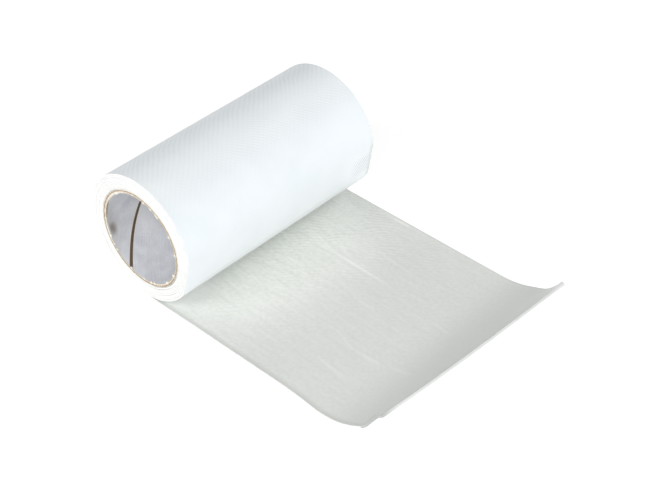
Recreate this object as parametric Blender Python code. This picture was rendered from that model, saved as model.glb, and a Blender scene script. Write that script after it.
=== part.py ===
# Roll of wide mastic tape on a cardboard core, with its loose end unrolled on the floor.
# X runs along the roll, the loose end lies towards -Y, and +Z is up. All sizes are in metres.

import math

import bmesh
import bpy

# Core: a plain cardboard tube
CORE_BORE_DIAMETER = 0.0762
CORE_WALL = 0.0025
CORE_INSET = 0.0002      # how far each end of the core lies behind the tape's cut edges

# Tape: one strip, wound on the core
TAPE_WIDTH = 0.200
TAPE_THICKNESS = 0.00165
TAPE_TURNS = 8
TAPE_GAP = 0.0003        # clearance between the core and the innermost turn
EDGE_RELIEF = 0.0003     # how far the seam between two turns lies behind the tape's cut edge

# Loose end: flat on the floor, then curling up
FLAT_LENGTH = 0.185      # from the line where the tape leaves the roll to the start of the curl
CURL_RADIUS = 0.074      # radius of the outer face in the curl

# Cut across the loose end, given as the length of the curl
CURL_LEFT_LENGTH = 0.040
CURL_RIGHT_LENGTH = 0.064
CUT_BOW = 0.0025         # how far the middle of the cut bulges past a straight line
TAB_WIDTH = 0.0155       # narrow stretch at the left corner, where the knife started
TAB_SHORTFALL = 0.0036   # how much shorter the tape is there
TAB_CORNER = 0.0020      # size of the tab's blunted corner
TAB_STEP_WIDTH = 0.0011

# Fineness of the curved faces
STEPS_PER_TURN = 72
CURL_STEPS = 9
CUT_STEPS = 9

CORE_LENGTH = TAPE_WIDTH - 2 * CORE_INSET
CORE_RADIUS = CORE_BORE_DIAMETER / 2 + CORE_WALL
TAPE_BORE_RADIUS = CORE_RADIUS + TAPE_GAP
ROLL_RADIUS = TAPE_BORE_RADIUS + TAPE_TURNS * TAPE_THICKNESS
SPIRAL_STEPS = TAPE_TURNS * STEPS_PER_TURN
HALF_WIDTH = TAPE_WIDTH / 2
SEAM_HALF_WIDTH = HALF_WIDTH - EDGE_RELIEF
SIDES = (-1, 1)


def clear_scene():
    for obj in list(bpy.data.objects):
        bpy.data.objects.remove(obj, do_unlink=True)


def make_material(name, color, roughness):
    material = bpy.data.materials.new(name)
    material.use_nodes = True
    shader = material.node_tree.nodes["Principled BSDF"]
    shader.inputs["Base Color"].default_value = (*color, 1.0)
    shader.inputs["Roughness"].default_value = roughness
    shader.inputs["Metallic"].default_value = 0.0
    return material


def add_object(name, shape, material, parent):
    """Turns a bmesh into a smooth-shaded object that hangs on the roll's axis."""
    bmesh.ops.recalc_face_normals(shape, faces=shape.faces)
    mesh = bpy.data.meshes.new(name)
    shape.to_mesh(mesh)
    shape.free()
    mesh.shade_smooth()
    mesh.set_sharp_from_angle(angle=math.radians(20))
    mesh.materials.append(material)
    obj = bpy.data.objects.new(name, mesh)
    obj.parent = parent
    bpy.context.scene.collection.objects.link(obj)
    return obj


def add_face(shape, corners):
    """A face through these vertices, where a vertex that is given twice counts once."""
    return shape.faces.new(list(dict.fromkeys(corners)))


def wound_point(x, step, radius):
    """A point of the roll, counted in steps from the line where the tape leaves it, round by +Y."""
    angle = math.tau * step / STEPS_PER_TURN
    return (x, radius * math.sin(angle), -radius * math.cos(angle))


def loose_point(x, length, height):
    """A point of the loose end: its length from the roll, and its height above the outer face."""
    floor = -ROLL_RADIUS
    if length <= FLAT_LENGTH:
        return (x, -length, floor + height)
    angle = (length - FLAT_LENGTH) / CURL_RADIUS
    radius = CURL_RADIUS - height
    return (x, -FLAT_LENGTH - radius * math.sin(angle), floor + CURL_RADIUS - radius * math.cos(angle))


def seam_radius(step):
    """The outer face of the strip after so many steps inwards, down to the bore."""
    return max(TAPE_BORE_RADIUS, ROLL_RADIUS - TAPE_THICKNESS * step / STEPS_PER_TURN)


def curl_length(share):
    """The curl's length along the bowed cut: 0 is beside the tab and 1 is the right corner."""
    straight = CURL_LEFT_LENGTH + (CURL_RIGHT_LENGTH - CURL_LEFT_LENGTH) * share
    return straight + 4 * CUT_BOW * share * (1 - share)


def cut_outline():
    """The cut as (x, length of the curl) pairs from the left edge of the tape to its right edge."""
    left = -SEAM_HALF_WIDTH
    right = SEAM_HALF_WIDTH
    tab_end = -HALF_WIDTH + TAB_WIDTH
    bow_start = tab_end + TAB_STEP_WIDTH
    tab_length = CURL_LEFT_LENGTH - TAB_SHORTFALL
    outline = [(left, tab_length - TAB_CORNER), (left + TAB_CORNER, tab_length), (tab_end, tab_length)]
    for step in range(CUT_STEPS + 1):
        share = step / CUT_STEPS
        outline.append((bow_start + (right - bow_start) * share, curl_length(share)))
    return outline


def wound_seams(shape, side):
    """The seam between the turns, spiralling in to the bore and once round it."""
    seams = []
    for step in range(SPIRAL_STEPS + STEPS_PER_TURN):
        seams.append(shape.verts.new(wound_point(side * SEAM_HALF_WIDTH, step, seam_radius(step))))
    seams.append(seams[SPIRAL_STEPS])
    return seams


def wound_crests(shape, side, seams):
    """The middle of the tape's cut edge, which stands out between two seams."""
    crests = []
    for step in range(SPIRAL_STEPS):
        outer = seam_radius(step)
        inner = seam_radius(step + STEPS_PER_TURN)
        relief = EDGE_RELIEF * (outer - inner) / TAPE_THICKNESS
        x = side * (SEAM_HALF_WIDTH + relief)
        crests.append(shape.verts.new(wound_point(x, step, (outer + inner) / 2)))
    crests.append(seams[SPIRAL_STEPS])
    return crests


def add_wound_end(shape, seams, crests):
    """One end of the roll: each turn is a low ridge between two seams."""
    for step in range(SPIRAL_STEPS):
        inner = step + STEPS_PER_TURN
        add_face(shape, (seams[step], seams[step + 1], crests[step + 1], crests[step]))
        add_face(shape, (crests[step], crests[step + 1], seams[inner + 1], seams[inner]))


def add_round_faces(shape, left, right, first):
    """One turn of faces that runs from end to end of the roll."""
    for step in range(first, first + STEPS_PER_TURN):
        add_face(shape, (left[step], left[step + 1], right[step + 1], right[step]))


def curl_rows(shape, outline, height):
    """Rows of vertices across the loose end, from the start of the curl to the cut."""
    rows = []
    for step in range(CURL_STEPS + 1):
        share = step / CURL_STEPS
        row = []
        for x, curl in outline:
            row.append(shape.verts.new(loose_point(x, FLAT_LENGTH + curl * share, height)))
        rows.append(row)
    return rows


def curl_crests(shape, side, curl):
    """The middle of the loose end's side edge, from the start of the curl to the cut."""
    crests = []
    for step in range(CURL_STEPS + 1):
        length = FLAT_LENGTH + curl * step / CURL_STEPS
        crests.append(shape.verts.new(loose_point(side * HALF_WIDTH, length, TAPE_THICKNESS / 2)))
    return crests


def add_loose_face(shape, rows, left_start, right_start):
    """The upper or the lower face of the loose end: one flat face, then the curl."""
    add_face(shape, [left_start, *rows[0], right_start])
    for near, far in zip(rows, rows[1:]):
        for column in range(len(near) - 1):
            add_face(shape, (near[column], near[column + 1], far[column + 1], far[column]))


def add_side_edge(shape, lower, crests, upper):
    """One long edge of the loose end, in two strips that meet at the crest."""
    for step in range(len(crests) - 1):
        add_face(shape, (lower[step], lower[step + 1], crests[step + 1], crests[step]))
        add_face(shape, (crests[step], crests[step + 1], upper[step + 1], upper[step]))


def add_cut(shape, lower, upper, left_crest, right_crest):
    """The cut edge of the loose end, with its two corners."""
    for column in range(len(lower) - 1):
        add_face(shape, (lower[column], lower[column + 1], upper[column + 1], upper[column]))
    add_face(shape, (lower[0], upper[0], left_crest))
    add_face(shape, (lower[-1], upper[-1], right_crest))


def add_loose_end(shape, seams, crests):
    outline = cut_outline()
    lower = curl_rows(shape, outline, 0.0)
    upper = curl_rows(shape, outline, TAPE_THICKNESS)
    corner_crests = {}
    for side, column in ((-1, 0), (1, -1)):
        loose = curl_crests(shape, side, outline[column][1])
        lower_edge = [seams[side][0], *(row[column] for row in lower)]
        upper_edge = [seams[side][STEPS_PER_TURN], *(row[column] for row in upper)]
        add_side_edge(shape, lower_edge, [crests[side][0], *loose], upper_edge)
        corner_crests[side] = loose[-1]
    add_loose_face(shape, lower, seams[-1][0], seams[1][0])
    add_loose_face(shape, upper, seams[-1][STEPS_PER_TURN], seams[1][STEPS_PER_TURN])
    add_cut(shape, lower[-1], upper[-1], corner_crests[-1], corner_crests[1])


def tape_shape():
    """The whole strip: the turns on the roll, fused at their seams, and the loose end."""
    shape = bmesh.new()
    seams = {side: wound_seams(shape, side) for side in SIDES}
    crests = {side: wound_crests(shape, side, seams[side]) for side in SIDES}
    for side in SIDES:
        add_wound_end(shape, seams[side], crests[side])
    add_round_faces(shape, seams[-1], seams[1], 0)
    add_round_faces(shape, seams[-1], seams[1], SPIRAL_STEPS)
    add_loose_end(shape, seams, crests)
    return shape


def core_shape():
    """A tube: the section of its wall, turned once round the X axis."""
    shape = bmesh.new()
    section = []
    for x, radius in (
        (-CORE_LENGTH / 2, CORE_BORE_DIAMETER / 2),
        (CORE_LENGTH / 2, CORE_BORE_DIAMETER / 2),
        (CORE_LENGTH / 2, CORE_RADIUS),
        (-CORE_LENGTH / 2, CORE_RADIUS),
    ):
        section.append(shape.verts.new(wound_point(x, 0, radius)))
    edges = []
    for start, end in zip(section, section[1:] + section[:1]):
        edges.append(shape.edges.new((start, end)))
    bmesh.ops.spin(
        shape,
        geom=section + edges,
        cent=(0.0, 0.0, 0.0),
        axis=(1.0, 0.0, 0.0),
        angle=math.tau,
        steps=STEPS_PER_TURN,
        use_merge=True,
    )
    return shape


def place_axis(axis, tape):
    """Puts the roll's axis so that the object stands on z = 0 with its box centred on the origin."""
    places = [vertex.co.y for vertex in tape.data.vertices]
    middle = (min(places) + max(places)) / 2
    axis.location = (0.0, -middle, ROLL_RADIUS)


def build():
    clear_scene()
    axis = bpy.data.objects.new("roll_axis", None)
    axis.empty_display_size = ROLL_RADIUS
    bpy.context.scene.collection.objects.link(axis)
    facing = make_material("white_mastic_tape", (0.86, 0.88, 0.89), 0.55)
    card = make_material("grey_brown_cardboard", (0.48, 0.45, 0.42), 0.85)
    tape = add_object("mastic_tape", tape_shape(), facing, axis)
    add_object("cardboard_core", core_shape(), card, axis)
    place_axis(axis, tape)


build()
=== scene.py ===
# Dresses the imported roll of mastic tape: the wound strip with its loose end, and its cardboard core.
import math

import bmesh
import bpy
import numpy as np
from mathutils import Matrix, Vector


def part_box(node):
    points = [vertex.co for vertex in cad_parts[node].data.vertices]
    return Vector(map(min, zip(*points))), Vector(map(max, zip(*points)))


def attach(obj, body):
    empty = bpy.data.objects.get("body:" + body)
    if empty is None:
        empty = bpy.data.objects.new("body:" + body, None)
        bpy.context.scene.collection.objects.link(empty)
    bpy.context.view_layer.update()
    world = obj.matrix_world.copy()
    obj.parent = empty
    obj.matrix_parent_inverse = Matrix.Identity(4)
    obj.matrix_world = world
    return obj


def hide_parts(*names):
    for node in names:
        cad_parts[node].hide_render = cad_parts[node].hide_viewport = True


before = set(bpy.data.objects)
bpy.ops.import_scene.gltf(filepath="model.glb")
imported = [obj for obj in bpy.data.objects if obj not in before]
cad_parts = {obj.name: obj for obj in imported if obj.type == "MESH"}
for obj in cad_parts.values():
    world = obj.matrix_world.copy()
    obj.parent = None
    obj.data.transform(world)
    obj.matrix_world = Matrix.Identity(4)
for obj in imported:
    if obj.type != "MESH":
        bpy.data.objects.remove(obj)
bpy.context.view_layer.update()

mm = 0.001
scene = bpy.context.scene

# The roll's axis runs along X; its place comes from the core's own box
coreLow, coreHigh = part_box("cardboard_core")
axisY = (coreLow.y + coreHigh.y) / 2
axisZ = (coreLow.z + coreHigh.z) / 2


# sRGB hex to linear: v / 12.92 below 0.04045, otherwise ((v + 0.055) / 1.055) to the power 2.4
def linearFromHex(text):
    v = np.array([int(text[i:i + 2], 16) / 255 for i in (1, 3, 5)])
    linear = np.where(v <= 0.04045, v / 12.92, ((v + 0.055) / 1.055) ** 2.4)
    return (*linear.tolist(), 1.0)


# Gives a node's inputs their values, or links them from a socket or from a node's first output. A
# text is a colour in sRGB hex.
def setInputs(tree, node, inputs):
    for name, value in inputs.items():
        if isinstance(value, bpy.types.Node):
            value = value.outputs[0]
        if isinstance(value, bpy.types.NodeSocket):
            tree.links.new(value, node.inputs[name])
        else:
            node.inputs[name].default_value = linearFromHex(value) if isinstance(value, str) else value


# Adds one node with its settings and inputs
def addNode(tree, kind, settings=None, inputs=None):
    node = tree.nodes.new("ShaderNode" + kind)
    for name, value in (settings or {}).items():
        setattr(node, name, value)
    setInputs(tree, node, inputs or {})
    return node


# Node settings that come up often
smooth = {"interpolation_type": "SMOOTHSTEP"}
colourMix = {"data_type": "RGBA"}
inPlane = {"noise_dimensions": "2D"}
asEllipse = {"vector_type": "TEXTURE"}
lengthOf, multiply, multiplyAdd, plus, minus, larger, absolute, sine = (
    {"operation": name}
    for name in ("LENGTH", "MULTIPLY", "MULTIPLY_ADD", "ADD", "SUBTRACT", "MAXIMUM", "ABSOLUTE", "SINE")
)


# A new material, its node tree and its shader, with the plain values on the shader's own sockets
def startMaterial(name, plain):
    material = bpy.data.materials.new(name)
    material.use_nodes = True
    tree = material.node_tree
    shader = tree.nodes["Principled BSDF"]
    setInputs(tree, shader, plain)
    return material, tree, shader


# The "run" UV map in millimetres, with its two parts: along and across the strip, or round and
# along the bore
def runInMm(tree):
    place = addNode(tree, "UVMap", {"uv_map": "run"})
    inMm = addNode(tree, "Mapping", {}, {0: place, "Scale": (100, 100, 100)})
    split = addNode(tree, "SeparateXYZ", {}, {0: inMm})
    return inMm, split.outputs[0], split.outputs[1]


# A belt round a middle value: the distance from it, and a share that is strong up to the first
# distance and fades to nothing at the second
def beltRound(tree, places, middle, full, none, strong):
    offset = addNode(tree, "Math", minus, {0: places, 1: middle})
    away = addNode(tree, "Math", absolute, {0: offset})
    belt = addNode(tree, "MapRange", smooth, {0: away, 1: full, 2: none, 3: strong, 4: 0.0})
    return away, belt


# Smooth noise along a line: random values at even knots, joined by a smoothstep between each two
def lineNoise(places, spacing, seed):
    knots = np.random.default_rng(seed).uniform(-1, 1, 4096)
    k = np.asarray(places, float) / spacing + 2048
    low = np.floor(k).astype(int)
    f = k - low
    f = f * f * (3 - 2 * f)
    return knots[low] * (1 - f) + knots[low + 1] * f


# A share that grows evenly from 0 at a start to 1 one length further
def shareFrom(places, start, length):
    return np.clip((places - start) / length, 0, 1)


# A mesh from a grid of points (rows, columns, 3). Closed directions join the last line to the first.
# uv has one more line than the points in a closed direction; slots gives each column its material.
def gridMesh(name, points, uv, slots, materials, closeRows=False, closeColumns=True, caps=()):
    rows, columns = points.shape[:2]
    r = np.arange(rows if closeRows else rows - 1)[:, None]
    c = np.arange(columns if closeColumns else columns - 1)[None, :]
    corners = [(r, c), (r, c + 1), (r + 1, c + 1), (r + 1, c)]
    quads = np.stack([(a % rows) * columns + b % columns for a, b in corners], -1).reshape(-1, 4)
    faceUv = np.stack([uv[a, b] for a, b in corners], 2).reshape(-1, 4, 2)
    faceSlots = np.broadcast_to(slots[None, :c.size], (r.size, c.size)).reshape(-1)
    faces = quads.tolist() + [list(cap) for cap, slot in caps]
    mesh = bpy.data.meshes.new(name)
    mesh.from_pydata(points.reshape(-1, 3).tolist(), [], faces)
    flatUv = uv[:rows, :columns].reshape(-1, 2)
    capUv = [flatUv[list(cap)] for cap, slot in caps]
    allUv = np.concatenate([faceUv.reshape(-1, 2), *capUv]) if capUv else faceUv.reshape(-1, 2)
    layer = mesh.uv_layers.new(name="run")
    layer.data.foreach_set("uv", allUv.astype(np.float32).reshape(-1))
    allSlots = np.concatenate([faceSlots, [slot for cap, slot in caps]]).astype(np.int32)
    mesh.polygons.foreach_set("material_index", allSlots)
    for material in materials:
        mesh.materials.append(material)
    shape = bmesh.new()
    shape.from_mesh(mesh)
    bmesh.ops.recalc_face_normals(shape, faces=shape.faces)
    shape.to_mesh(mesh)
    shape.free()
    mesh.shade_smooth()
    mesh.set_sharp_from_angle(angle=math.radians(38))
    piece = bpy.data.objects.new(name, mesh)
    scene.collection.objects.link(piece)
    return piece


# One value for each point of a piece, under the name by which its materials read it
def storeValues(piece, name, values):
    layer = piece.data.attributes.new(name, "FLOAT", "POINT")
    layer.data.foreach_set("value", np.ascontiguousarray(values, np.float32).reshape(-1))


print("materials")

facing = {
    "white": "#E9EDF0",
    "lineShadeAndMottle": "#D8E0E3",      # painted shade in the pressed lines, and the film's cloudy tone
    "deepLineShade": "#B8C5CC",    # and painted shade in the deepest ones, in the hatched patch
    "paintedLightTone": "#FBFDFE",        # painted light where the roll turns up to its top and down to the sheet
    "edgeShade": "#CDD5D3",     # painted shade along the film's edge where the roll's far end is pressed flat
    "roughness": 0.42,
    "steepPitch": 3.6,        # mm between the lines that slant one way; drawn at about twice the real
                              # pitch, to show
    "shallowPitch": 2.6,      # mm between the lines that slant the other way, drawn coarser too
    "depth": 0.04,            # mm
    "wander": 8.0,            # how far the lines stray, in mm
    # All places are in mm: along the strip from the line under the roll, and across it from its middle.
    # A belt is given as its middle, the distance that it keeps its full strength, the distance at
    # which it ends, and that strength.
    "crown": (166.0, 216.0, 0.1),   # where the steep lines begin and end to fade, and what is left of them
    "patches": (0.05, 0.3),         # least and greatest strength of the shallow lines outside the belt
    "belt": (186.0, 5.0, 22.0, 1.0),      # where the shallow lines are pressed deepest
    "beltEnd": (-70.0, 20.0, 0.35),       # where it gains its strength across the roll, and the least of it
    "beltLeft": 0.35,                     # what is left of the steep lines in the belt
    "hatch": (262.5, 5.0, 13.0, 2.0),     # patch low on the roll's far end, where both are pressed deep
    "hatchEnd": (71.0, 84.0),             # where it gains its strength across the roll
    "hatchShare": 0.4,                    # share of its strength that the shallow lines have
    "hatchShade": (0.35, 2.7, 0.9),        # offset, range and strength of the painted shade in its lines
    "paintedLightBelts": ((176.0, 5.0, 28.0, 0.3), (271.0, 2.0, 32.0, 0.24)),   # belts of painted light, where the film is drawn paler
    "edgeShadeAcross": (95.0, 98.4, 0.75),      # where the painted edge shade begins and is full across the roll, and its strength
    "edgeShadeReach": (14.0, 25.0),           # how far from the hatch the painted edge shade is full, and where it ends
}


# Embossed polyethylene facing film, calendered on to the mastic: clean cool white with a soft
# sheen, and fine slanting pressed lines that catch the light where the roll turns away, with painted
# shade in them. Two belts along the roll are painted paler as painted light, and its far end has a
# hatched patch with painted shade in its lines and painted shade along its flat-pressed edge.
def makeFacing():
    material, tree, shader = startMaterial("embossed_white_film", {"IOR": 1.50, "Specular IOR Level": 0.35})
    inMm, along, across = runInMm(tree)
    drift = addNode(tree, "TexNoise", inPlane, {"Vector": inMm, "Scale": 0.022, "Detail": 2.0})
    wander = addNode(tree, "Math", multiplyAdd, {0: drift, 1: facing["wander"], 2: across})
    waves = []
    for sign, pitch in ((1, facing["steepPitch"]), (-1, facing["shallowPitch"])):
        slant = addNode(tree, "Math", multiplyAdd, {0: along, 1: sign, 2: wander})
        turn = addNode(tree, "Math", multiply, {0: slant, 1: math.tau / (pitch * math.sqrt(2))})
        waves.append(addNode(tree, "Math", sine, {0: turn}))
    patches = addNode(tree, "TexNoise", inPlane, {"Vector": inMm, "Scale": 0.03, "Detail": 3.0})
    weakest, strongest = facing["patches"]
    patchy = addNode(tree, "MapRange", {}, {0: patches, 1: 0.4, 2: 0.62, 3: weakest, 4: strongest})
    start, end, left = facing["crown"]
    crown = addNode(tree, "MapRange", smooth, {0: along, 1: start, 2: end, 3: 1.0, 4: left})
    belt = beltRound(tree, along, *facing["belt"])[1]
    start, end, least = facing["beltEnd"]
    beltEnd = addNode(tree, "MapRange", smooth, {0: across, 1: start, 2: end, 3: least, 4: 1.0})
    beltHere = addNode(tree, "Math", multiply, {0: belt, 1: beltEnd})
    patchyHere = addNode(tree, "Math", multiply, {0: patchy, 1: crown})
    outsideHatch = addNode(tree, "Math", larger, {0: beltHere, 1: patchyHere})
    outOfBelt = addNode(tree, "MapRange", {}, {0: beltHere, 3: 1.0, 4: facing["beltLeft"]})
    crownHere = addNode(tree, "Math", multiply, {0: crown, 1: outOfBelt})
    awayFromHatch, hatch = beltRound(tree, along, *facing["hatch"])
    start, end = facing["hatchEnd"]
    hatchEnd = addNode(tree, "MapRange", smooth, {0: across, 1: start, 2: end})
    hatchHere = addNode(tree, "Math", multiply, {0: hatch, 1: hatchEnd})
    steepDepth = addNode(tree, "Math", larger, {0: crownHere, 1: hatchHere})
    shallowDepth = addNode(tree, "Math", multiplyAdd, {0: hatchHere, 1: facing["hatchShare"], 2: outsideHatch})
    steep = addNode(tree, "Math", multiply, {0: waves[0], 1: steepDepth})
    both = addNode(tree, "Math", multiplyAdd, {0: waves[1], 1: shallowDepth, 2: steep})
    grain = addNode(tree, "TexNoise", inPlane, {"Vector": inMm, "Scale": 1.1, "Detail": 3.0})
    height = addNode(tree, "Math", multiplyAdd, {0: grain, 1: 0.5, 2: both})
    relief = addNode(tree, "Bump", {}, {"Strength": 1.0, "Distance": facing["depth"] * mm, "Height": height})
    # painted shade: the pressed lines are coloured darker, standing in for the shading of their relief
    pressed = addNode(tree, "MapRange", {}, {0: both, 1: -1.8, 2: 1.8, 3: 0.75, 4: 0.0})
    cloud = addNode(tree, "MapRange", {}, {0: patches, 1: 0.35, 2: 0.65, 3: 0.0, 4: 0.2})
    lineShadeAndMottle = addNode(tree, "Math", plus, {0: pressed, 1: cloud})
    colour = addNode(tree, "Mix", colourMix, {0: lineShadeAndMottle, 6: facing["white"], 7: facing["lineShadeAndMottle"]})
    # painted shade in the hatched patch's lines, where their relief barely shows
    offset, lowest, strong = facing["hatchShade"]
    lowered = addNode(tree, "Math", minus, {0: waves[0], 1: offset})
    hatched = addNode(tree, "Math", multiply, {0: lowered, 1: hatchHere})
    deepLineShadeShare = addNode(tree, "MapRange", {}, {0: hatched, 1: -lowest, 2: 0.0, 3: strong, 4: 0.0})
    lined = addNode(tree, "Mix", colourMix, {0: deepLineShadeShare, 6: colour.outputs[2], 7: facing["deepLineShade"]})
    # painted light: paler belts where the roll's top and its bottom by the sheet would render too dark
    for paintedLightBelts in facing["paintedLightBelts"]:
        paintedLightShare = beltRound(tree, along, *paintedLightBelts)[1]
        lined = addNode(tree, "Mix", colourMix, {0: paintedLightShare, 6: lined.outputs[2], 7: facing["paintedLightTone"]})
    # painted shade along the far end's edge, by the flat spot
    start, end, strong = facing["edgeShadeAcross"]
    onEdge = addNode(tree, "MapRange", smooth, {0: across, 1: start, 2: end, 4: strong})
    start, end = facing["edgeShadeReach"]
    onFlat = addNode(tree, "MapRange", smooth, {0: awayFromHatch, 1: start, 2: end, 3: 1.0, 4: 0.0})
    edgeShadeShare = addNode(tree, "Math", multiply, {0: onEdge, 1: onFlat})
    withEdgeShade = addNode(tree, "Mix", colourMix, {0: edgeShadeShare, 6: lined.outputs[2], 7: facing["edgeShade"]})
    gloss = addNode(tree, "MapRange", {},
                    {0: grain, 1: 0.3, 2: 0.7, 3: facing["roughness"] - 0.05, 4: facing["roughness"] + 0.08})
    setInputs(tree, shader, {"Base Color": withEdgeShade.outputs[2], "Roughness": gloss, "Normal": relief})
    return material


innerFace = {
    "paintedLightByRoll": "#F5F7F0",       # painted light: paler by the roll, lifting the shadow that the roll casts there
    "pale": "#E2E4E0",
    "deep": "#D1D3D0",
    "contactShade": "#D2D1C9",         # painted shadow along the line where the strip meets the roll
    "edge": "#C6C8C4",        # dull line along the cut edges
    "rubbedAndPaintedLight": "#FFFFFC",
    "freeEndDull": "#D0D2CF",     # a little duller towards the free end
    # Reaches are in mm from the line under the roll, or across the strip from its middle, and then
    # the strength or the least share
    "contactShadeReach": (25.0, 37.0, 0.15),
    "paintedLightReach": (38.0, 132.0),
    "paintedLightBelly": (30.0, 100.0, 0.3),     # the painted light is weaker towards both long edges
    "freeEndDullReach": (182.0, 222.0, 0.65),
    "blotch": 34.0,           # how raggedly the handled tone begins, in mm
    "farLines": (-40.0, 85.0, 0.3),       # the slanting lines are stronger towards the far edge
    "rollLines": (95.0, 165.0, 0.3),      # and weaker away from the roll
    "nearEdge": (-99.4, -94.5, 0.75),     # the dull line along the near edge,
    "farEdge": (98.6, 99.5, 0.6),         # along the far edge,
    "cutEdge": (0.4, 2.2, 0.8),           # and along the cut, in mm from it
    "wander": 17.0,           # how far the lines stray, in mm
    "shades": (0.36, 0.26, 0.14),         # strength of the lines, the streaks and the grain
    "roughness": 0.46,
    "linePitch": 3.4,         # mm between the slanting lines; drawn coarser than real to show
    "depth": 0.022,           # mm
    "marks": (                # rubbed places, and last a patch of painted light over the roll's shadow at the near corner: middle along and across, half length and half width in mm, degrees, strength
                              # degrees, strength
        (-98.0, 32.6, 46.0, 2.2, 1.2, 0.36),
        (-56.0, 37.5, 24.0, 1.8, 15.0, 0.24),
        (-46.0, -30.5, 15.0, 1.5, 12.6, 0.32),
        (-74.0, 43.2, 7.5, 1.1, -24.0, 0.3),
        (-146.0, -35.5, 16.0, 2.0, 18.0, 0.16),
        (-172.0, -37.8, 17.0, 2.4, -3.0, 0.17),
        (-198.0, -33.8, 17.0, 2.6, -5.0, 0.14),
        (-120.0, 55.0, 30.0, 1.8, 4.0, 0.1),
        (-128.0, 4.0, 26.0, 2.4, 8.0, 0.12),
        (-188.0, 22.0, 20.0, 2.2, 10.0, 0.1),
        (-160.0, -64.0, 22.0, 2.6, 6.0, 0.15),
        (-86.0, 96.5, 14.0, 2.2, 0.0, 0.4),
        (-246.0, 97.0, 9.0, 5.0, 0.0, 0.5),
        # painted light, lifting the roll's shadow at the near corner
        (-24.0, -74.0, 13.0, 34.0, 0.0, 0.65),
    ),
}
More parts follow.
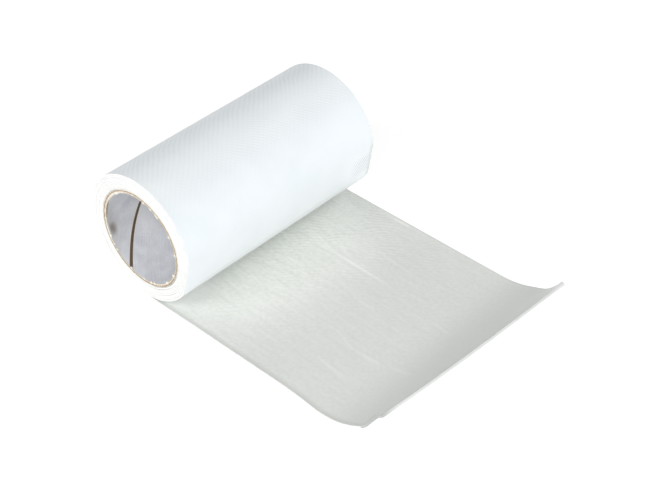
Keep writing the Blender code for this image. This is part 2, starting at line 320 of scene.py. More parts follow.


# The mastic's own face under its thin film: flat pale grey-green with a dull sheen, faint
# slanting lines pressed through from the facing, long rubbed streaks, and a duller free end.
# Painted light by the roll lifts the roll's shadow there, and painted shadow darkens the line where
# it meets the roll. The "toCut" attribute is the distance to the cut, in mm.
def makeInnerFace():
    material, tree, shader = startMaterial("grey_green_mastic_face", {
        "Roughness": innerFace["roughness"], "IOR": 1.50, "Specular IOR Level": 0.35,
    })
    inMm, along, across = runInMm(tree)
    slant = addNode(tree, "Math", plus, {0: along, 1: across})
    drift = addNode(tree, "TexNoise", inPlane, {"Vector": inMm, "Scale": 0.03, "Detail": 2.0})
    bent = addNode(tree, "Math", multiplyAdd, {0: drift, 1: innerFace["wander"], 2: slant})
    turn = addNode(tree, "Math", multiply, {0: bent, 1: math.tau / (innerFace["linePitch"] * math.sqrt(2))})
    lines = addNode(tree, "Math", sine, {0: turn})
    start, end, least = innerFace["farLines"]
    farSide = addNode(tree, "MapRange", smooth, {0: across, 1: start, 2: end, 3: least, 4: 1.0})
    patches = addNode(tree, "TexNoise", inPlane, {"Vector": inMm, "Scale": 0.035, "Detail": 2.0})
    patchy = addNode(tree, "MapRange", smooth, {0: patches, 1: 0.38, 2: 0.6, 3: 0.1, 4: 1.0})
    start, end, least = innerFace["rollLines"]
    byRoll = addNode(tree, "MapRange", smooth, {0: along, 1: -end, 2: -start, 3: least, 4: 1.0})
    farPatchy = addNode(tree, "Math", multiply, {0: farSide, 1: patchy})
    strength = addNode(tree, "Math", multiply, {0: farPatchy, 1: byRoll})
    faded = addNode(tree, "Math", multiply, {0: lines, 1: strength})
    grain = addNode(tree, "TexNoise", inPlane, {"Vector": inMm, "Scale": 0.32, "Detail": 4.0})
    longWays = addNode(tree, "Mapping", {}, {
        0: inMm, "Rotation": (0, 0, math.radians(-8)), "Scale": (0.05, 0.3, 1),
    })
    streaks = addNode(tree, "TexNoise", inPlane,
                      {"Vector": longWays, "Scale": 1.0, "Detail": 4.0, "Distortion": 0.4})
    height = addNode(tree, "Math", multiplyAdd, {0: grain, 1: 0.5, 2: faded})
    relief = addNode(tree, "Bump", {}, {"Strength": 1.0, "Distance": innerFace["depth"] * mm, "Height": height})
    ofLines, ofStreaks, ofGrain = innerFace["shades"]
    lineShade = addNode(tree, "MapRange", {}, {0: faded, 1: -1.0, 2: 1.0, 4: ofLines})
    streakShade = addNode(tree, "MapRange", {}, {0: streaks, 1: 0.3, 2: 0.7, 4: ofStreaks})
    grainShade = addNode(tree, "MapRange", {}, {0: grain, 1: 0.3, 2: 0.7, 3: -ofGrain, 4: ofGrain})
    shade = addNode(tree, "Math", plus, {0: lineShade, 1: streakShade})
    shadeAll = addNode(tree, "Math", {"operation": "ADD", "use_clamp": True}, {0: shade, 1: grainShade})
    # painted light on the strip near the roll, where the roll shades it
    start, end = innerFace["paintedLightReach"]
    paintedLightByRoll = addNode(tree, "MapRange", smooth, {0: along, 1: -end, 2: -start})
    fromMiddle = addNode(tree, "Math", absolute, {0: across})
    start, end, least = innerFace["paintedLightBelly"]
    belly = addNode(tree, "MapRange", smooth, {0: fromMiddle, 1: start, 2: end, 3: 1.0, 4: least})
    paintedLightHere = addNode(tree, "Math", multiply, {0: paintedLightByRoll, 1: belly})
    tone = addNode(tree, "Mix", colourMix, {0: paintedLightHere, 6: innerFace["pale"], 7: innerFace["paintedLightByRoll"]})
    # duller towards the free end
    start, end, strong = innerFace["freeEndDullReach"]
    blotch = innerFace["blotch"]
    blotched = addNode(tree, "Math", multiplyAdd, {0: streaks, 1: blotch, 2: along})
    freeEndDull = addNode(tree, "MapRange", smooth,
                      {0: blotched, 1: blotch / 2 - end, 2: blotch / 2 - start, 3: strong, 4: 0.0})
    freeEndToned = addNode(tree, "Mix", colourMix, {0: freeEndDull, 6: tone.outputs[2], 7: innerFace["freeEndDull"]})
    # painted shadow where the strip meets the roll
    start, end, strong = innerFace["contactShadeReach"]
    contactShade = addNode(tree, "MapRange", smooth, {0: along, 1: -end, 2: -start, 4: strong})
    base = addNode(tree, "Mix", colourMix, {0: contactShade, 6: freeEndToned.outputs[2], 7: innerFace["contactShade"]})
    colour = addNode(tree, "Mix", colourMix, {0: shadeAll, 6: base.outputs[2], 7: innerFace["deep"]})
    for middle, side, length, width, angle, strong in innerFace["marks"]:
        onMark = addNode(tree, "Mapping", asEllipse, {
            0: inMm, "Location": (middle, side, 0), "Rotation": (0, 0, math.radians(angle)),
            "Scale": (length, width, 1),
        })
        reachOf = addNode(tree, "VectorMath", lengthOf, {0: onMark})
        mark = addNode(tree, "MapRange", smooth,
                       {0: reachOf.outputs["Value"], 1: 0.15, 2: 1.0, 3: strong, 4: 0.0})
        colour = addNode(tree, "Mix", colourMix, {0: mark, 6: colour.outputs[2], 7: innerFace["rubbedAndPaintedLight"]})
    start, end, strong = innerFace["nearEdge"]
    nearLine = addNode(tree, "MapRange", smooth, {0: across, 1: start, 2: end, 3: strong, 4: 0.0})
    start, end, strong = innerFace["farEdge"]
    farLine = addNode(tree, "MapRange", smooth, {0: across, 1: start, 2: end, 4: strong})
    sideLine = addNode(tree, "Math", larger, {0: nearLine, 1: farLine})
    toCut = addNode(tree, "Attribute", {"attribute_name": "toCut"})
    start, end, strong = innerFace["cutEdge"]
    cutLine = addNode(tree, "MapRange", smooth, {0: toCut.outputs["Fac"], 1: start, 2: end, 3: strong, 4: 0.0})
    edgeLine = addNode(tree, "Math", larger, {0: sideLine, 1: cutLine})
    finished = addNode(tree, "Mix", colourMix, {0: edgeLine, 6: colour.outputs[2], 7: innerFace["edge"]})
    setInputs(tree, shader, {"Base Color": finished.outputs[2], "Normal": relief})
    return material


cutEdge = {
    # Colours of the clean cut, its smears, the far tip, the part next to the film, and the near corner
    "rolled": ("#EDEDEB", "#E6E6E1", "#EDEDEB", "#EDEDEB", "#EDEDEB"),   # slit edges, clean and white
    "knife": ("#D6D7D5", "#CBCCCA", "#CECDCF", "#EDEDEB", "#B9BBB8"),    # the hand-cut free end, dragged
    "film": "#C4C8D2",        # thin line where the facing film's own edge shows
    "smears": 0.7,            # strength of the smears
    "tip": (60.0, 97.0),      # mm from the middle over which the far tip's colour comes in
    "nearCorner": (-84.0, -68.0),   # and the near corner's fades
    "byFilm": (0.1, 0.7, 0.75),     # shares of the thickness over which the next colour fades, and its strength
    "filmLine": (0.04, 0.16, 0.75),
    "roughness": 0.55,
}


# Cut butyl mastic: dense white putty with a slightly waxy, knife-drawn surface, and the facing
# film's edge as a broken thin line. The "height" attribute is 0 on the film and 1 on the inner face.
def makeCutEdge(name, colours):
    material, tree, shader = startMaterial(name, {
        "Roughness": cutEdge["roughness"], "IOR": 1.50, "Specular IOR Level": 0.3,
    })
    solid = addNode(tree, "TexCoord").outputs["Object"]
    across = addNode(tree, "SeparateXYZ", {}, {0: solid}).outputs[0]
    smears = addNode(tree, "TexNoise", {}, {"Vector": solid, "Scale": 160.0, "Detail": 3.0})
    drawn = addNode(tree, "TexNoise", {}, {"Vector": solid, "Scale": 900.0, "Detail": 3.0})
    share = addNode(tree, "MapRange", {}, {0: smears, 1: 0.4, 2: 0.7, 4: cutEdge["smears"]})
    clean = addNode(tree, "Mix", colourMix, {0: share, 6: colours[0], 7: colours[1]})
    start, end = cutEdge["tip"]
    tip = addNode(tree, "MapRange", smooth, {0: across, 1: start * mm, 2: end * mm})
    colour = addNode(tree, "Mix", colourMix, {0: tip, 6: clean.outputs[2], 7: colours[2]})
    height = addNode(tree, "Attribute", {"attribute_name": "height"}).outputs["Fac"]
    start, end, strong = cutEdge["byFilm"]
    byFilm = addNode(tree, "MapRange", smooth, {0: height, 1: start, 2: end, 3: strong, 4: 0.0})
    start, end = cutEdge["nearCorner"]
    nearCorner = addNode(tree, "MapRange", smooth, {0: across, 1: start * mm, 2: end * mm, 3: 1.0, 4: 0.0})
    twoTone = addNode(tree, "Mix", colourMix, {0: byFilm, 6: colour.outputs[2], 7: colours[3]})
    cornered = addNode(tree, "Mix", colourMix, {0: nearCorner, 6: twoTone.outputs[2], 7: colours[4]})
    start, end, strong = cutEdge["filmLine"]
    broken = addNode(tree, "MapRange", {}, {0: smears, 1: 0.42, 2: 0.6, 4: strong})
    onFilm = addNode(tree, "MapRange", smooth, {0: height, 1: start, 2: end, 3: 1.0, 4: 0.0})
    filmLine = addNode(tree, "Math", multiply, {0: broken, 1: onFilm})
    edged = addNode(tree, "Mix", colourMix, {0: filmLine, 6: cornered.outputs[2], 7: cutEdge["film"]})
    relief = addNode(tree, "Bump", {}, {"Strength": 0.6, "Distance": 0.05 * mm, "Height": drawn})
    setInputs(tree, shader, {"Base Color": edged.outputs[2], "Normal": relief})
    return material


lining = {
    "grey": "#E6E8EC",
    "dull": "#D3D4D8",
    # the board in the seam, darkened by painted shade
    "gapBoardAndShade": "#6B5C4D",
    "gapEdge": "#F0E2D2",
    # a dark smudge, and painted shade at the mouth of the bore
    "smudgeAndShade": "#83796F",
    # painted light on the inner wall
    "paintedBoreLight": "#FFFFFF",
    "torn": "#FBFAF7",        # fibres torn up along the sawn end
    "gapWidth": 4.0,          # mm at the near end
    "gapTaper": 0.014,        # how much narrower it gets for each mm along the bore
    "gapLip": (0.3, 0.95),    # mm of pale edge on its two sides
    "marks": (                # mm round from the seam's near end and along the bore, reach both ways in mm,
                              # strength, tone
        # painted shade along the mouth of the bore
        (38.0, -98.0, 34.0, 13.0, 0.3, "smudgeAndShade"),
        # the dark smudge by the rim
        (34.2, -96.0, 8.0, 5.5, 0.8, "smudgeAndShade"),
        # painted light on the wall deeper in the bore
        (32.0, -64.0, 34.0, 20.0, 0.6, "paintedBoreLight"),
    ),
    "roughness": 0.82,
}


# Grey recycled paper lining of a spiral-wound tube: matt, mottled, with fibres that run along
# the strip, a dark smudge near the end with painted shade round it, painted light deeper in the
# bore, and one butt seam that winds along the bore and shows the brown board under it, darkened
# by painted shade. The "torn" attribute is 1 on the fibres torn up at the ends.
def makeLining():
    material, tree, shader = startMaterial("grey_paper_lining", {
        "Roughness": lining["roughness"], "IOR": 1.45, "Specular IOR Level": 0.2,
    })
    inMm, roundWays, alongBore = runInMm(tree)
    solid = addNode(tree, "TexCoord").outputs["Object"]
    mottle = addNode(tree, "TexNoise", {}, {"Vector": solid, "Scale": 110.0, "Detail": 4.0})
    fibre = addNode(tree, "TexNoise", {}, {"Vector": solid, "Scale": 1100.0, "Detail": 3.0})
    drawn = addNode(tree, "Mapping", {}, {0: inMm, "Scale": (0.75, 0.07, 1)})
    strands = addNode(tree, "TexNoise", inPlane, {"Vector": drawn, "Scale": 1.0, "Detail": 3.0})
    mixed = addNode(tree, "Math", multiplyAdd, {0: fibre, 1: 0.5, 2: mottle})
    mixedAll = addNode(tree, "Math", multiplyAdd, {0: strands, 1: 0.55, 2: mixed})
    share = addNode(tree, "MapRange", {}, {0: mixedAll, 1: 0.78, 2: 1.28})
    paper = addNode(tree, "Mix", colourMix, {0: share, 6: lining["grey"], 7: lining["dull"]})
    lead = math.radians(core["seamLead"]) * core["boreRadius"]   # mm round for each mm along
    around = addNode(tree, "Math", multiplyAdd, {0: alongBore, 1: lead, 2: roundWays})
    fromStart = addNode(tree, "Math", plus, {0: around, 1: lead * core["halfLength"]})
    level = addNode(tree, "CombineXYZ", {}, {0: fromStart, 1: alongBore})
    marked = paper
    for placeRound, placeAlong, width, length, strong, tone in lining["marks"]:
        onMark = addNode(tree, "Mapping", asEllipse, {
            0: level, "Location": (placeRound, placeAlong, 0), "Scale": (width, length, 1),
        })
        fromMark = addNode(tree, "VectorMath", lengthOf, {0: onMark})
        unevenly = addNode(tree, "Math", multiplyAdd, {0: fibre, 1: 0.6, 2: fromMark.outputs["Value"]})
        fade = addNode(tree, "MapRange", smooth, {0: unevenly, 1: 0.4, 2: 1.3, 3: strong, 4: 0.0})
        marked = addNode(tree, "Mix", colourMix, {0: fade, 6: marked.outputs[2], 7: lining[tone]})
    away = addNode(tree, "Math", absolute, {0: roundWays})
    narrower = addNode(tree, "Math", multiplyAdd, {0: alongBore, 1: lining["gapTaper"] / 2, 2: away})
    half = (lining["gapWidth"] - 100 * lining["gapTaper"]) / 2   # mm, at the middle of the bore
    oneSide, otherSide = lining["gapLip"]
    lip = addNode(tree, "MapRange", smooth, {0: roundWays, 1: -1.0, 2: 1.0, 3: oneSide, 4: otherSide})
    lipEnd = addNode(tree, "Math", minus, {0: narrower, 1: lip})
    edge = addNode(tree, "MapRange", smooth, {0: lipEnd, 1: half, 2: half + 0.2, 3: 0.8, 4: 0.0})
    withEdge = addNode(tree, "Mix", colourMix, {0: edge, 6: marked.outputs[2], 7: lining["gapEdge"]})
    # painted shade: the board in the seam is drawn darker than the board itself
    gap = addNode(tree, "MapRange", smooth, {0: narrower, 1: half - 0.05, 2: half + 0.1, 3: 1.0, 4: 0.0})
    colour = addNode(tree, "Mix", colourMix, {0: gap, 6: withEdge.outputs[2], 7: lining["gapBoardAndShade"]})
    torn = addNode(tree, "Attribute", {"attribute_name": "torn"})
    frayed = addNode(tree, "Mix", colourMix, {0: torn.outputs["Fac"], 6: colour.outputs[2], 7: lining["torn"]})
    relief = addNode(tree, "Bump", {}, {"Strength": 0.5, "Distance": 0.06 * mm, "Height": fibre})
    setInputs(tree, shader, {"Base Color": frayed.outputs[2], "Normal": relief})
    return material


board = {
    "kraft": "#9A8A74",
    "smear": "#EAE4D9",       # mastic squeezed over the outermost ply
    "cream": "#D8CAB6",
    "torn": "#F4F1EA",
    "paintedFoldShade": "#6F6252",     # painted shade where the inner plies are folded into the bore
    # Places in the wall are about 0.25 at the bore and 1.25 outside
    "creamPlace": 0.52,
    "creamReach": (0.1, 0.18),
    "smearReach": (0.98, 1.16),
    "roughness": 0.85,
}


# Saw-cut end of the spiral tube: brown kraft plies with a cream one between them, and pale mastic
# squeezed over the outermost one, with white torn fibres where the blade left a burr, and a dark
# line of painted shade where the wall is folded in. The "ply" attribute is 0 at the bore and 1 outside.
def makeBoard():
    material, tree, shader = startMaterial("sawn_kraft_board", {
        "Roughness": board["roughness"], "IOR": 1.45, "Specular IOR Level": 0.2,
    })
    ply = addNode(tree, "Attribute", {"attribute_name": "ply"})
    torn = addNode(tree, "Attribute", {"attribute_name": "torn"})
    solid = addNode(tree, "TexCoord").outputs["Object"]
    ragged = addNode(tree, "TexNoise", {}, {"Vector": solid, "Scale": 420.0, "Detail": 3.0})
    fibre = addNode(tree, "TexNoise", {}, {"Vector": solid, "Scale": 1800.0, "Detail": 3.0})
    where = addNode(tree, "Math", multiplyAdd, {0: ragged, 1: 0.5, 2: ply.outputs["Fac"]})
    fromCream = addNode(tree, "Math", minus, {0: where, 1: board["creamPlace"]})
    awayFromCream = addNode(tree, "Math", absolute, {0: fromCream})
    start, end = board["creamReach"]
    inCream = addNode(tree, "MapRange", {}, {0: awayFromCream, 1: start, 2: end, 3: 1.0, 4: 0.0})
    start, end = board["smearReach"]
    outer = addNode(tree, "MapRange", {}, {0: where, 1: start, 2: end})
    inside = addNode(tree, "Mix", colourMix, {0: inCream, 6: board["kraft"], 7: board["cream"]})
    plies = addNode(tree, "Mix", colourMix, {0: outer, 6: inside.outputs[2], 7: board["smear"]})
    colour = addNode(tree, "Mix", colourMix, {0: torn.outputs["Fac"], 6: plies.outputs[2], 7: board["torn"]})
    # painted shade in the fold
    foldShadeShare = addNode(tree, "Attribute", {"attribute_name": "foldShadeShare"})
    paintedFoldShade = addNode(tree, "Mix", colourMix,
                      {0: foldShadeShare.outputs["Fac"], 6: colour.outputs[2], 7: board["paintedFoldShade"]})
    relief = addNode(tree, "Bump", {}, {"Strength": 0.8, "Distance": 0.08 * mm, "Height": fibre})
    setInputs(tree, shader, {"Base Color": paintedFoldShade.outputs[2], "Normal": relief})
    return material


print("tape strip")

tape = {
    "halfWidth": 100.0,       # mm, as all the lengths here
    "thickness": 1.60,
    "pitch": 1.65,            # from one turn to the next
    "turns": 7.97,
    "rollRadius": 54.1,
    "boreRadius": 40.9,
    "edgeRelief": 0.3,        # how far the cut edge stands out in its middle
    "flatLength": 185.0,
    "curlRadius": 74.0,
    "curlLeft": 41.4,
    "curlRight": 64.0,
    "cutBow": 2.0,
    "tabWidth": 15.5,
    "tabLength": 37.0,
    "tabCorner": 2.0,
    "tabStep": 1.1,
    "knifeWander": 0.18,      # waviness of the cut
    "knifeWaves": (9, 3),     # lengths of its long and short waves
    "cutSlant": 0.7,          # how much further the cut reaches on the facing than on the inner face
    "nearEdge": (             # how far the near long edge is drawn in, at places along the loose end
        (135, 0), (152, -0.3), (166, -1.1), (182, -2.4), (197, -1.7), (204, -1.1), (211, -0.2), (222, 1.8),
    ),
    "nearEdgeReach": 28.0,
    "sideWander": 0.16,       # how unevenly the turns lie at the roll's ends
    "sideWaves": (47, 17),    # lengths of its long and short waves along the strip
    "sideReach": 8.0,         # how far in from the edges it is felt
    "quietReach": (60.0, 0.25),   # length over which it grows from the loose end on, and its least share
    "sideSeeds": {-1: 11, 1: 23},
    "looseWrap": 0.06,        # how far the outermost turn stands off the roll
    "flatSpots": {-1: (283.5, 19.5), 1: (279.0, 18.0)},   # pressed flat low at each end: middle and half
                              # width, in degrees from the bottom by +Y
    "flatSpotReach": (70.0, 28.0),   # where they begin, from the middle of the roll, and their length along it
    "tipKink": 1.7,           # how far the far corner dips before it turns up
    "kinkReach": (62.0, 36.0),   # where the dip begins across the strip, and over what width it grows
    "kinkPlace": (46.0, 9.0),    # its place and reach along the curl
    "tipSwell": 0.8,          # how much thicker the far corner is, as a share, where the knife dragged it
    "tipReach": (84.0, 14.0),    # where that begins across the strip, and over what width it grows
    "swellFade": 12,          # power by which it fades away from the cut
    "knifeBurr": 0.45,        # how far the knife dragged the cut outwards
    "tipBurr": 0.3,           # and how much further at the far corner
    "burrFade": 24,           # power by which the burr fades away from the cut
    "stationsPerTurn": 120,
    "flatStations": 46,
    "curlStations": 34,
    "seed": 7,
}


# Length of the curl at the cut: a straight skewed line plus a bow of 4 * bow * s * (1 - s), and
# a shorter tab with one blunted corner on the left
def cutLength(x):
    left = -tape["halfWidth"] + tape["edgeRelief"]
    right = -left
    tabEnd = -tape["halfWidth"] + tape["tabWidth"]
    start = tabEnd + tape["tabStep"]
    s = shareFrom(x, start, right - start)
    bowed = tape["curlLeft"] + (tape["curlRight"] - tape["curlLeft"]) * s + 4 * tape["cutBow"] * s * (1 - s)
    corner = shareFrom(x, left, tape["tabCorner"])
    tab = tape["tabLength"] - tape["tabCorner"] * (1 - corner)
    step = shareFrom(x, tabEnd, tape["tabStep"])
    long, short = tape["knifeWaves"]
    waves = lineNoise(x, long, tape["seed"]) + 0.5 * lineNoise(x, short, tape["seed"] + 1)
    return tab * (1 - step) + bowed * step + tape["knifeWander"] * waves


# The strip's section: x across it and h, the share of its thickness, from 0 on the facing to 1
# on the inner face. The side edges bulge by edgeRelief * (1 - (2h - 1)^2). The columns stand closer at
# the edges and at the tab.
def stripSection():
    edge = tape["halfWidth"] - tape["edgeRelief"]
    tabEnd = -tape["halfWidth"] + tape["tabWidth"]
    across = np.concatenate([
        [-edge, -edge + 1, -edge + 2], np.linspace(-edge + 5, tabEnd - 1.5, 4),
        [tabEnd, tabEnd + tape["tabStep"]], np.linspace(tabEnd + 4, edge - 3, 22), [edge - 1, edge],
    ])
    side = np.linspace(0, 1, 7)[1:-1]
    bulge = edge + tape["edgeRelief"] * (1 - (2 * side - 1) ** 2)
    x = np.concatenate([across, bulge, across[::-1], -bulge[::-1]])
    h = np.concatenate([np.zeros(across.size), side, np.ones(across.size), side[::-1]])
    slots = np.concatenate([
        np.zeros(across.size - 1), np.ones(side.size + 1), np.full(across.size - 1, 2), np.ones(side.size + 1),
    ]).astype(np.int32)
    return x, h, slots, across.size, side.size


# The strip carried along its path. Curl: an arc of the curl's radius from the end of the flat,
# with a bell-shaped dip near the far corner, and a thicker corner and a burr that fade from the
# cut by a power. Flat: length back from the line under the roll. Wound: a spiral that loses one
# pitch a turn. Flat spot at each end of the roll: a chord, so the radius falls by
# R * (1 - cos(half) / cos(t)).
def makeTapeStrip(materials):
    x, h, slots, faceColumns, sideColumns = stripSection()
    height = h * tape["thickness"]
    floor = -tape["rollRadius"]
    curlShare = np.linspace(1, 0, tape["curlStations"] + 1)[:-1, None]
    curl = (cutLength(x) + tape["cutSlant"] * (0.5 - h)) * curlShare
    angle = curl / tape["curlRadius"]
    byTip = shareFrom(x, *tape["tipReach"])
    swell = 1 + tape["tipSwell"] * byTip ** 2 * curlShare ** tape["swellFade"]
    dragged = tape["knifeBurr"] + tape["tipBurr"] * byTip
    burr = dragged * (1 - h) * curlShare ** tape["burrFade"]
    arm = tape["curlRadius"] - height * swell + burr
    curlPoints = np.stack(np.broadcast_arrays(
        x, -tape["flatLength"] - arm * np.sin(angle), floor + tape["curlRadius"] - arm * np.cos(angle),
    ), -1)
    curlRun = -tape["flatLength"] - curl
    kinkPlace, kinkLength = tape["kinkPlace"]
    dip = np.exp(-((curl - kinkPlace) / kinkLength) ** 2) * shareFrom(x, *tape["kinkReach"]) ** 2
    curlPoints[..., 2] -= tape["tipKink"] * dip

    back = np.linspace(tape["flatLength"], 0, tape["flatStations"] + 1)[:-1, None]
    flatPoints = np.stack(np.broadcast_arrays(x, -back, floor + height), -1)

    count = int(tape["turns"] * tape["stationsPerTurn"])
    turn = np.linspace(0, tape["turns"], count + 1)[:, None]
    outer = tape["rollRadius"] - tape["pitch"] * turn
    inner = np.maximum(tape["boreRadius"], outer - tape["thickness"])
    # The outermost turn stands off between its two ends
    lift = tape["looseWrap"] * (np.clip(1 - np.abs(2 * turn - 1) ** 3, 0, 1) * (turn < 1))
    radius = outer + (inner - outer) * h + lift
    around = math.tau * turn
    depth = shareFrom(radius, tape["boreRadius"], tape["rollRadius"] - tape["boreRadius"])
    for side, (middle, half) in tape["flatSpots"].items():
        fromSpot = np.minimum(np.abs(np.degrees(around) % 360 - middle), half)
        pressed = 1 - math.cos(math.radians(half)) / np.cos(np.radians(fromSpot))
        byEnd = shareFrom(side * x, *tape["flatSpotReach"])
        radius = radius - tape["rollRadius"] * pressed * byEnd ** 2 * (3 - 2 * byEnd) * depth
    woundPoints = np.stack(np.broadcast_arrays(x, radius * np.sin(around), -radius * np.cos(around)), -1)
    woundRun = np.broadcast_to(
        math.tau * (tape["rollRadius"] * turn - tape["pitch"] * turn ** 2 / 2), radius.shape)

    points = np.concatenate([curlPoints, flatPoints, woundPoints])
    run = np.concatenate([curlRun, flatPoints[..., 1], woundRun])
    uv = np.stack(np.broadcast_arrays(run, x), -1) / 100
    uv = np.concatenate([uv, uv[:, :1]], 1)

    # Each side edge wanders a little along the strip, so neighbouring turns lie unevenly
    middle = run[:, faceColumns + sideColumns // 2]
    quietLength, quietest = tape["quietReach"]
    quiet = np.clip(middle / quietLength, quietest, 1)
    long, short = tape["sideWaves"]
    for side, seed in tape["sideSeeds"].items():
        waves = lineNoise(middle, long, seed) + 0.5 * lineNoise(middle, short, seed + 1)
        shift = waves * tape["sideWander"] * quiet
        near = np.clip(1 - (tape["halfWidth"] - side * x) / tape["sideReach"], 0, 1) ** 2
        points[..., 0] += shift[:, None] * near
    places, drawnIn = zip(*tape["nearEdge"])
    near = np.clip(1 - (tape["halfWidth"] + x) / tape["nearEdgeReach"], 0, 1) ** 2
    points[..., 0] += np.interp(-run, places, drawnIn) * near

    # The cut and the inner end of the strip are closed by caps between facing columns
    last = (points.shape[0] - 1) * x.size
    caps = []
    for base, slot in ((0, 3), (last, 1)):
        for k in range(faceColumns - 1):
            opposite = 2 * faceColumns + sideColumns - 1 - k
            caps.append(((base + k, base + k + 1, base + opposite - 1, base + opposite), slot))
        rightSide = range(faceColumns - 1, faceColumns + sideColumns + 1)
        leftSide = [*range(2 * faceColumns + sideColumns - 1, x.size), 0]
        caps.append(([base + k for k in rightSide], slot))
        caps.append(([base + k for k in leftSide], slot))
    points = points * mm + np.array([0, axisY, axisZ])
    piece = gridMesh("tape_strip", points, uv, slots, materials, caps=caps)
    toCut = np.full(run.shape, 100.0)
    toCut[:curlShare.size] = cutLength(x) * (1 - curlShare)
    storeValues(piece, "toCut", toCut)
    storeValues(piece, "height", np.broadcast_to(h, run.shape))
    return piece


tapeStrip = makeTapeStrip([
    makeFacing(), makeCutEdge("slit_white_mastic", cutEdge["rolled"]), makeInnerFace(),
    makeCutEdge("knife_cut_mastic", cutEdge["knife"]),
])
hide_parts("mastic_tape")
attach(tapeStrip, "root")

print("cardboard core")

core = {
    "halfLength": 99.8,       # mm, as all the lengths here
    "boreRadius": 38.1,
    "outerRadius": 40.6,
    "seamAngle": 20.5,        # degrees from the bottom towards +Y, at the near end
    "seamLead": 1.83,         # degrees for each mm along the bore
    "gapDepth": 0.35,
    "burrLength": 2.4,
    "burrHeight": 1.5,
    "burrOut": 0.22,          # how far it stands out from the rim
    "rimRough": 0.06,         # how uneven the sawn rim is
    "burrArcs": ((95, 215, 15), (-20, 60, 7), (215, 340, 4), (60, 95, 2)),   # degrees from, to, and how many
    "foldedIn": (105, 32, 1.3),   # the widest one, where the inner plies are folded into the bore
    "burrSwells": ((138, 30, 0.4), (330, 20, 0.3), (72, 14, 0.5)),   # wide low ones: middle, width, size
    "stations": 420,
    "seed": 5,
}


# A tube whose lines follow the lining's helix: angle = station + lead * (x + half length). The
# radius of the bore grows by the gap's depth inside the seam, and shrinks near each end by the
# larger of the burr and the fold, which are bell-shaped round the rim. The lines stand closer at
# the seam and at the ends.
def makeCoreTube(materials):
    half, bore, outside = core["halfLength"], core["boreRadius"], core["outerRadius"]
    gapHalf = math.degrees(lining["gapWidth"] / 2 / bore)
    steps = np.array([0.25, 0.45, 0.55, 0.65, 0.75, 0.85, 0.95, 1.05, 1.2, 1.6, 2.4])
    dense = np.concatenate([-steps[::-1], [0], steps]) * gapHalf
    wide = np.linspace(2.4 * gapHalf, 360 - 2.4 * gapHalf, core["stations"] - dense.size + 2)[1:-1]
    station = np.concatenate([dense, wide])
    station[station > 180] -= 360
    station = np.sort(station)

    endSteps = np.array([0, 0.25, 0.5, 0.8, 1.2, 2.0, 3.2])
    boreX = np.concatenate([-half + endSteps, np.linspace(-half + 5.5, half - 5.5, 44), half - endSteps[::-1]])
    outerX = np.linspace(half, -half, 40)
    share = np.linspace(0, 1, 12)[1:-1]
    rimRadius = bore + (outside - bore) * share
    sectionX = np.concatenate([boreX, np.full(share.size, half), outerX, np.full(share.size, -half)])
    sectionR = np.concatenate([
        np.full(boreX.size, bore), rimRadius, np.full(outerX.size, outside), rimRadius[::-1],
    ])
    ply = (sectionR - bore) / (outside - bore)
    slots = np.concatenate([
        np.zeros(boreX.size - 1), np.ones(share.size + 1), np.ones(outerX.size - 1), np.ones(share.size + 1),
    ]).astype(np.int32)

    turned = core["seamAngle"] + station[:, None] + core["seamLead"] * (sectionX + half)
    radius = np.broadcast_to(sectionR, turned.shape).copy()
    isBore = ply < 0.001
    narrow = 1 - lining["gapTaper"] * (sectionX + half) / lining["gapWidth"]
    inGap = np.clip((1.05 - np.abs(station)[:, None] / (gapHalf * narrow)) / 0.1, 0, 1)
    radius += core["gapDepth"] * inGap * isBore
    wound = np.mod(turned, 360)
    burr = np.zeros_like(radius)
    for place, width, size in burrSpots():
        gap = np.abs((wound - place + 180) % 360 - 180)
        burr = np.maximum(burr, size * np.exp(-(gap / width) ** 2))
    foldPlace, foldWidth, foldSize = core["foldedIn"]
    fold = np.exp(-((wound - foldPlace) / foldWidth) ** 2)
    fromEnd = half - np.abs(sectionX)
    reach = np.clip(1 - fromEnd / core["burrLength"], 0, 1) ** 1.5
    inward = np.maximum(burr, foldSize * fold) * reach * np.clip(1 - ply * 2.2, 0, 1)
    radius -= core["burrHeight"] * inward
    around = wound * 0.7      # about mm round the rim
    ragged = lineNoise(around, 1.3, core["seed"]) * 0.5 + lineNoise(around, 0.5, core["seed"] + 1) * 0.3
    isRim = (fromEnd < 0.001) & (ply > 0.001) & (ply < 0.999)
    x = np.broadcast_to(sectionX, turned.shape).copy()
    out = core["rimRough"] * ragged + core["burrOut"] * burr * np.clip(1 - ply * 2, 0, 1)
    x += np.sign(sectionX) * (out * isRim)
    a = np.radians(turned)
    points = np.stack([x, radius * np.sin(a), -radius * np.cos(a)], -1)

    closing = np.concatenate([station, [station[0] + 360]])
    across = np.radians(closing)[:, None] * bore
    uv = np.stack(np.broadcast_arrays(across, sectionX), -1) / 100
    uv = np.concatenate([uv, uv[:, :1]], 1)
    points = points * mm + np.array([0, axisY, axisZ])
    piece = gridMesh("core_tube", points, uv, slots, materials, closeRows=True)
    # The torn fibres and the painted fold shade lie towards the bore, as shares of the wall
    storeValues(piece, "ply", np.broadcast_to(ply, radius.shape))
    storeValues(piece, "torn", np.clip(burr * reach * np.clip(1.3 - ply * 2.0, 0, 1) * 1.4, 0, 1))
    storeValues(piece, "foldShadeShare", np.clip(fold ** 3 * np.clip(1.8 - ply * 7, 0, 1), 0, 1))
    return piece


# Places of the saw's burr round the two ends: angle and width in degrees, and size from 0 to 1.
# It is thickest at the top left, where the blade came out, and at the bottom.
def burrSpots():
    random = np.random.default_rng(core["seed"])
    spots = list(core["burrSwells"])
    for low, high, count in core["burrArcs"]:
        for place in np.sort(random.uniform(low, high, count)):
            spots.append((place % 360, random.uniform(0.7, 2.2), random.uniform(0.45, 1.0)))
    return spots


coreTube = makeCoreTube([makeLining(), makeBoard()])
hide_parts("cardboard_core")
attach(coreTube, "root")

print("studio")

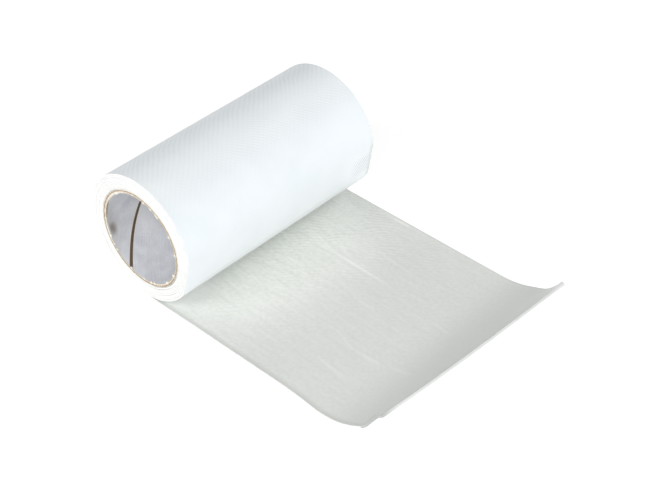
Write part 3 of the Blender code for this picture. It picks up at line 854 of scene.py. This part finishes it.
studio = {
    "floorColour": "#BFBFBF",
    "floorSize": 8.0,         # m
    "floorDrop": 0.2,         # mm below the object
    "floorGlow": 0.62,        # the backdrop is lit from below too, as on a light table
    "surroundLow": 0.90,      # brightness of the white tent at the horizon
    "surroundHigh": 0.175,    # and overhead
    "surroundReach": (0.03, 0.36),   # between these heights, as shares of straight up
    "aim": (0.0, 0.0, 0.05),  # m, where the soft boxes point
    "softBoxes": {            # place in m, size in m, power in W
        "side_box": ((-1.8, 0.2, 1.3), 1.2, 23.3),
        "camera_box": ((-1.35, -1.25, 1.7), 1.0, 12.6),
        "front_box": ((0.0, -2.0, 1.25), 1.2, 11.4),
        "low_box": ((0.3, -2.2, 0.5), 1.4, 9.5),
        "back_box": ((0.3, 2.0, 1.4), 1.4, 9.5),
        "right_box": ((2.2, -0.6, 0.9), 1.4, 24.8),
    },
    "lens": 88.222,           # mm on a 36 mm sensor
    "cameraPlace": (-0.67356, -0.62692, 0.79583),
    "cameraTurn": -47.064,    # degrees round the vertical
    "cameraTilt": 39.457,     # degrees down from the horizon
}


# Matt white backdrop paper: even and pale, with a slight fine tooth
def makeBackdrop():
    material, tree, shader = startMaterial("white_backdrop_paper", {
        "Roughness": 0.9, "IOR": 1.45, "Specular IOR Level": 0.1,
        "Base Color": studio["floorColour"],
        "Emission Color": (1.0, 1.0, 1.0, 1.0), "Emission Strength": studio["floorGlow"],
    })
    solid = addNode(tree, "TexCoord").outputs["Object"]
    tooth = addNode(tree, "TexNoise", {}, {"Vector": solid, "Scale": 500.0, "Detail": 2.0})
    relief = addNode(tree, "Bump", {}, {"Strength": 0.1, "Distance": 0.02 * mm, "Height": tooth})
    setInputs(tree, shader, {"Normal": relief})
    return material


# A flat square sheet, just under the object
def makeFloor():
    reach = studio["floorSize"] / 2
    low = -studio["floorDrop"] * mm
    mesh = bpy.data.meshes.new("floor")
    corners = [(x * reach, y * reach, low) for x, y in ((-1, -1), (1, -1), (1, 1), (-1, 1))]
    mesh.from_pydata(corners, [], [(0, 1, 2, 3)])
    mesh.materials.append(makeBackdrop())
    floor = bpy.data.objects.new("floor", mesh)
    scene.collection.objects.link(floor)


# A square soft box at a place, turned to face the roll: its tilt and turn are the angles of the
# way from it to the aim
def makeSoftBox(name, place, size, power):
    light = bpy.data.lights.new(name, "AREA")
    light.shape = "SQUARE"
    light.size = size
    light.energy = power
    lamp = bpy.data.objects.new(name, light)
    lamp.location = place
    way = np.array(studio["aim"]) - np.array(place)
    tilt = math.atan2(-way[2], math.hypot(way[0], way[1]))
    lamp.rotation_euler = (math.pi / 2 - tilt, 0.0, math.atan2(-way[0], way[1]))
    scene.collection.objects.link(lamp)


# The camera at its place, turned round the vertical and tilted down
def makeCamera():
    lens = bpy.data.cameras.new("photo_camera")
    lens.lens = studio["lens"]
    lens.sensor_width = 36.0
    lens.clip_start = 0.05
    lens.clip_end = 50.0
    camera = bpy.data.objects.new("photo_camera", lens)
    camera.location = studio["cameraPlace"]
    camera.rotation_euler = (math.radians(90 - studio["cameraTilt"]), 0.0, math.radians(studio["cameraTurn"]))
    scene.collection.objects.link(camera)
    scene.camera = camera


# A white tent round the scene: its brightness goes by a smoothstep from the horizon's to the one overhead
def makeSurround():
    world = bpy.data.worlds.new("white_tent")
    world.use_nodes = True
    tree = world.node_tree
    way = addNode(tree, "TexCoord").outputs["Generated"]
    split = addNode(tree, "SeparateXYZ", {}, {0: way})
    start, end = studio["surroundReach"]
    glow = addNode(tree, "MapRange", smooth, {
        0: split.outputs[2], 1: start, 2: end, 3: studio["surroundLow"], 4: studio["surroundHigh"],
    })
    setInputs(tree, tree.nodes["Background"], {"Strength": glow, "Color": (1.0, 1.0, 1.0, 1.0)})
    scene.world = world


makeFloor()
for boxName, (boxPlace, boxSize, boxPower) in studio["softBoxes"].items():
    makeSoftBox(boxName, boxPlace, boxSize, boxPower)
makeSurround()
makeCamera()
scene.view_settings.view_transform = "Standard"
scene.view_settings.look = "None"
